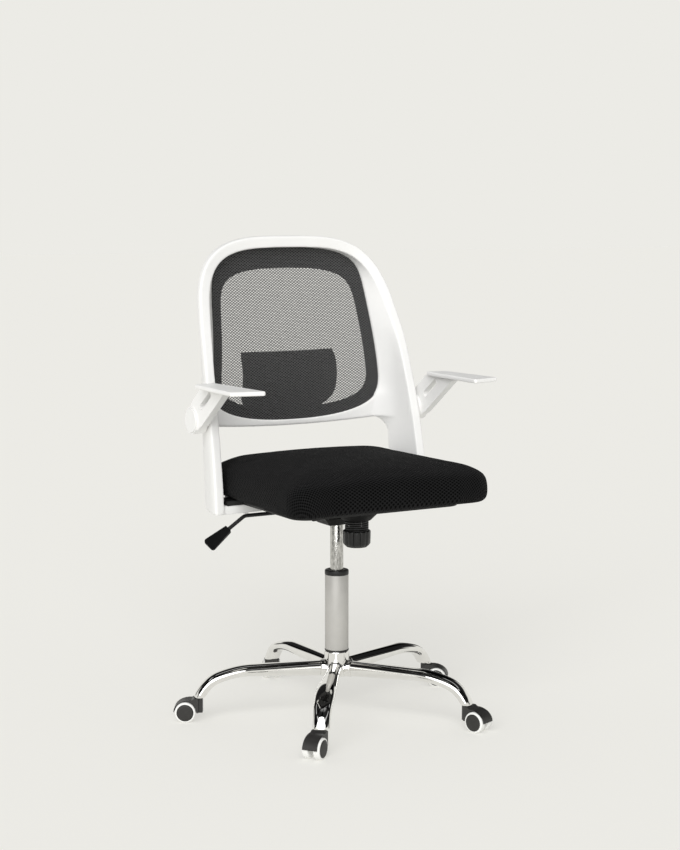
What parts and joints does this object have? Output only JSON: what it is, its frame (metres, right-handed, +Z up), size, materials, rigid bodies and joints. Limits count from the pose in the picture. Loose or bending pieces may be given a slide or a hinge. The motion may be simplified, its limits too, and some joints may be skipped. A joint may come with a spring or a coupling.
{
  "type": "office chair",
  "caption": "Mesh-back office chair with a white frame, flip-up armrests, a black cushion and a chromed star base on twin-wheel casters.",
  "frame": {"origin": "the gas lift's axis on the floor", "axes": "+Z up along the gas lift, -Y toward the seat's front, +X toward the sitter's left hand"},
  "size_m": [0.6688, 0.6462, 1.013],
  "materials": {
    "chrome": "polished",
    "steel": "satin",
    "black_steel": "satin",
    "black_plastic": "matte",
    "white_plastic": "satin",
    "white_wheel": "satin",
    "black_fabric": "woven"
  },
  "bodies": {
    "base": {"base_hub": "chrome", "base_legs": "chrome", "column_tube": "chrome", "column_bush": "black_plastic", "thrust_bearing": "chrome"},
    "piston": {"piston_rod": "chrome", "retaining_clip": "chrome"},
    "chassis": {"gas_cylinder": "chrome", "tilt_housing": "black_steel", "tilt_pins": "chrome"},
    "seat": {"seat_plate": "black_steel", "seat_pan": "black_plastic", "seat_cushion": "black_fabric", "plate_bolts": "chrome", "back_frame": "white_plastic", "frame_bolts": "chrome", "mesh_ring": "black_plastic", "mesh_panel": "black_fabric", "lumbar_pad": "black_plastic", "pivot_pin_left": "chrome", "pivot_pin_right": "chrome", "tension_bolt": "black_steel", "tension_spring": "black_steel"},
    "knob": {"tension_knob": "black_plastic"},
    "lever_pivot": {"lever_bush": "black_plastic"},
    "lever": {"lever_rod": "black_steel", "lever_paddle": "black_plastic"},
    "button": {"release_button": "steel"},
    "armrest_left": {"arm_left": "white_plastic", "arm_pad_left": "white_plastic", "pivot_cap_left": "white_plastic"},
    "armrest_right": {"arm_right": "white_plastic", "arm_pad_right": "white_plastic", "pivot_cap_right": "white_plastic"},
    "caster_1": {"caster_1_hood": "black_plastic", "caster_1_stem": "steel", "caster_1_axle": "steel"},
    "caster_1_left": {"caster_1_wheel_left": "white_wheel"},
    "caster_1_right": {"caster_1_wheel_right": "white_wheel"},
    "caster_2": {"caster_2_hood": "black_plastic", "caster_2_stem": "steel", "caster_2_axle": "steel"},
    "caster_2_left": {"caster_2_wheel_left": "white_wheel"},
    "caster_2_right": {"caster_2_wheel_right": "white_wheel"},
    "caster_3": {"caster_3_hood": "black_plastic", "caster_3_stem": "steel", "caster_3_axle": "steel"},
    "caster_3_left": {"caster_3_wheel_left": "white_wheel"},
    "caster_3_right": {"caster_3_wheel_right": "white_wheel"},
    "caster_4": {"caster_4_hood": "black_plastic", "caster_4_stem": "steel", "caster_4_axle": "steel"},
    "caster_4_left": {"caster_4_wheel_left": "white_wheel"},
    "caster_4_right": {"caster_4_wheel_right": "white_wheel"},
    "caster_5": {"caster_5_hood": "black_plastic", "caster_5_stem": "steel", "caster_5_axle": "steel"},
    "caster_5_left": {"caster_5_wheel_left": "white_wheel"},
    "caster_5_right": {"caster_5_wheel_right": "white_wheel"}
  },
  "joints": [
    {"name": "seat_swivel", "type": "hinge", "parent": "base", "child": "piston", "pos_m": [0, 0, 0.1], "axis": [0, 0, 1], "continuous": true},
    {"name": "seat_lift", "type": "slide", "parent": "piston", "child": "chassis", "axis": [0, 0, 1], "range_m": [-0.09, 0]},
    {"name": "seat_tilt", "type": "hinge", "parent": "chassis", "child": "seat", "pos_m": [0, 0, 0.436], "axis": [-1, 0, 0], "range_deg": [0, 10], "stiffness_Nm_per_rad": 120, "springref_deg": -11.46, "deforming": ["tension_spring"]},
    {"name": "tension_turn", "type": "hinge", "parent": "seat", "child": "knob", "pos_m": [0, -0.083, 0.39], "axis": [0, 0, 1], "range_deg": [-720, 720]},
    {"name": "lever_lift", "type": "hinge", "parent": "chassis", "child": "lever_pivot", "pos_m": [-0.0515, 0.036, 0.439], "axis": [0, 1, 0], "range_deg": [0, 3], "stiffness_Nm_per_rad": 5, "springref_deg": -2.86},
    {"name": "lever_slide", "type": "slide", "parent": "lever_pivot", "child": "lever", "axis": [-1, 0, 0], "range_m": [0, 0.012]},
    {"name": "button_press", "type": "slide", "parent": "chassis", "child": "button", "axis": [0, 0, -1], "range_m": [0, 0.003], "stiffness_N_per_m": 500, "springref_m": -0.002},
    {"name": "arm_fold_left", "type": "hinge", "parent": "seat", "child": "armrest_left", "pos_m": [-0.27, 0.113, 0.635], "axis": [-1, 0, 0], "range_deg": [0, 90]},
    {"name": "arm_fold_right", "type": "hinge", "parent": "seat", "child": "armrest_right", "pos_m": [0.27, 0.113, 0.635], "axis": [-1, 0, 0], "range_deg": [0, 90]},
    {"name": "caster_1_swivel", "type": "hinge", "parent": "base", "child": "caster_1", "pos_m": [-0.1734, -0.23866, 0.053], "axis": [0, 0, 1], "continuous": true},
    {"name": "caster_1_roll_left", "type": "hinge", "parent": "caster_1", "child": "caster_1_left", "pos_m": [-0.19756, -0.25558, 0.022], "axis": [0.5736, -0.8192, 0], "continuous": true},
    {"name": "caster_1_roll_right", "type": "hinge", "parent": "caster_1", "child": "caster_1_right", "pos_m": [-0.19756, -0.25558, 0.022], "axis": [0.5736, -0.8192, 0], "continuous": true},
    {"name": "caster_2_swivel", "type": "hinge", "parent": "base", "child": "caster_2", "pos_m": [0.1734, -0.23866, 0.053], "axis": [0, 0, 1], "continuous": true},
    {"name": "caster_2_roll_left", "type": "hinge", "parent": "caster_2", "child": "caster_2_left", "pos_m": [0.18349, -0.26638, 0.022], "axis": [0.9397, 0.342, 0], "continuous": true},
    {"name": "caster_2_roll_right", "type": "hinge", "parent": "caster_2", "child": "caster_2_right", "pos_m": [0.18349, -0.26638, 0.022], "axis": [0.9397, 0.342, 0], "continuous": true},
    {"name": "caster_3_swivel", "type": "hinge", "parent": "base", "child": "caster_3", "pos_m": [0.28056, 0.09116, 0.053], "axis": [0, 0, 1], "continuous": true},
    {"name": "caster_3_roll_left", "type": "hinge", "parent": "caster_3", "child": "caster_3_left", "pos_m": [0.30381, 0.073, 0.022], "axis": [0.6157, 0.788, 0], "continuous": true},
    {"name": "caster_3_roll_right", "type": "hinge", "parent": "caster_3", "child": "caster_3_right", "pos_m": [0.30381, 0.073, 0.022], "axis": [0.6157, 0.788, 0], "continuous": true},
    {"name": "caster_4_swivel", "type": "hinge", "parent": "base", "child": "caster_4", "pos_m": [0, 0.295, 0.053], "axis": [0, 0, 1], "continuous": true},
    {"name": "caster_4_roll_left", "type": "hinge", "parent": "caster_4", "child": "caster_4_left", "pos_m": [0.01247, 0.32174, 0.022], "axis": [-0.9063, 0.4226, 0], "continuous": true},
    {"name": "caster_4_roll_right", "type": "hinge", "parent": "caster_4", "child": "caster_4_right", "pos_m": [0.01247, 0.32174, 0.022], "axis": [-0.9063, 0.4226, 0], "continuous": true},
    {"name": "caster_5_swivel", "type": "hinge", "parent": "base", "child": "caster_5", "pos_m": [-0.28056, 0.09116, 0.053], "axis": [0, 0, 1], "continuous": true},
    {"name": "caster_5_roll_left", "type": "hinge", "parent": "caster_5", "child": "caster_5_left", "pos_m": [-0.30611, 0.10591, 0.022], "axis": [-0.5, -0.866, 0], "continuous": true},
    {"name": "caster_5_roll_right", "type": "hinge", "parent": "caster_5", "child": "caster_5_right", "pos_m": [-0.30611, 0.10591, 0.022], "axis": [-0.5, -0.866, 0], "continuous": true}
  ],
  "couplings": [
    {"joint": "button_press", "follows": "lever_lift", "m_per_rad": 0.0515}
  ]
}
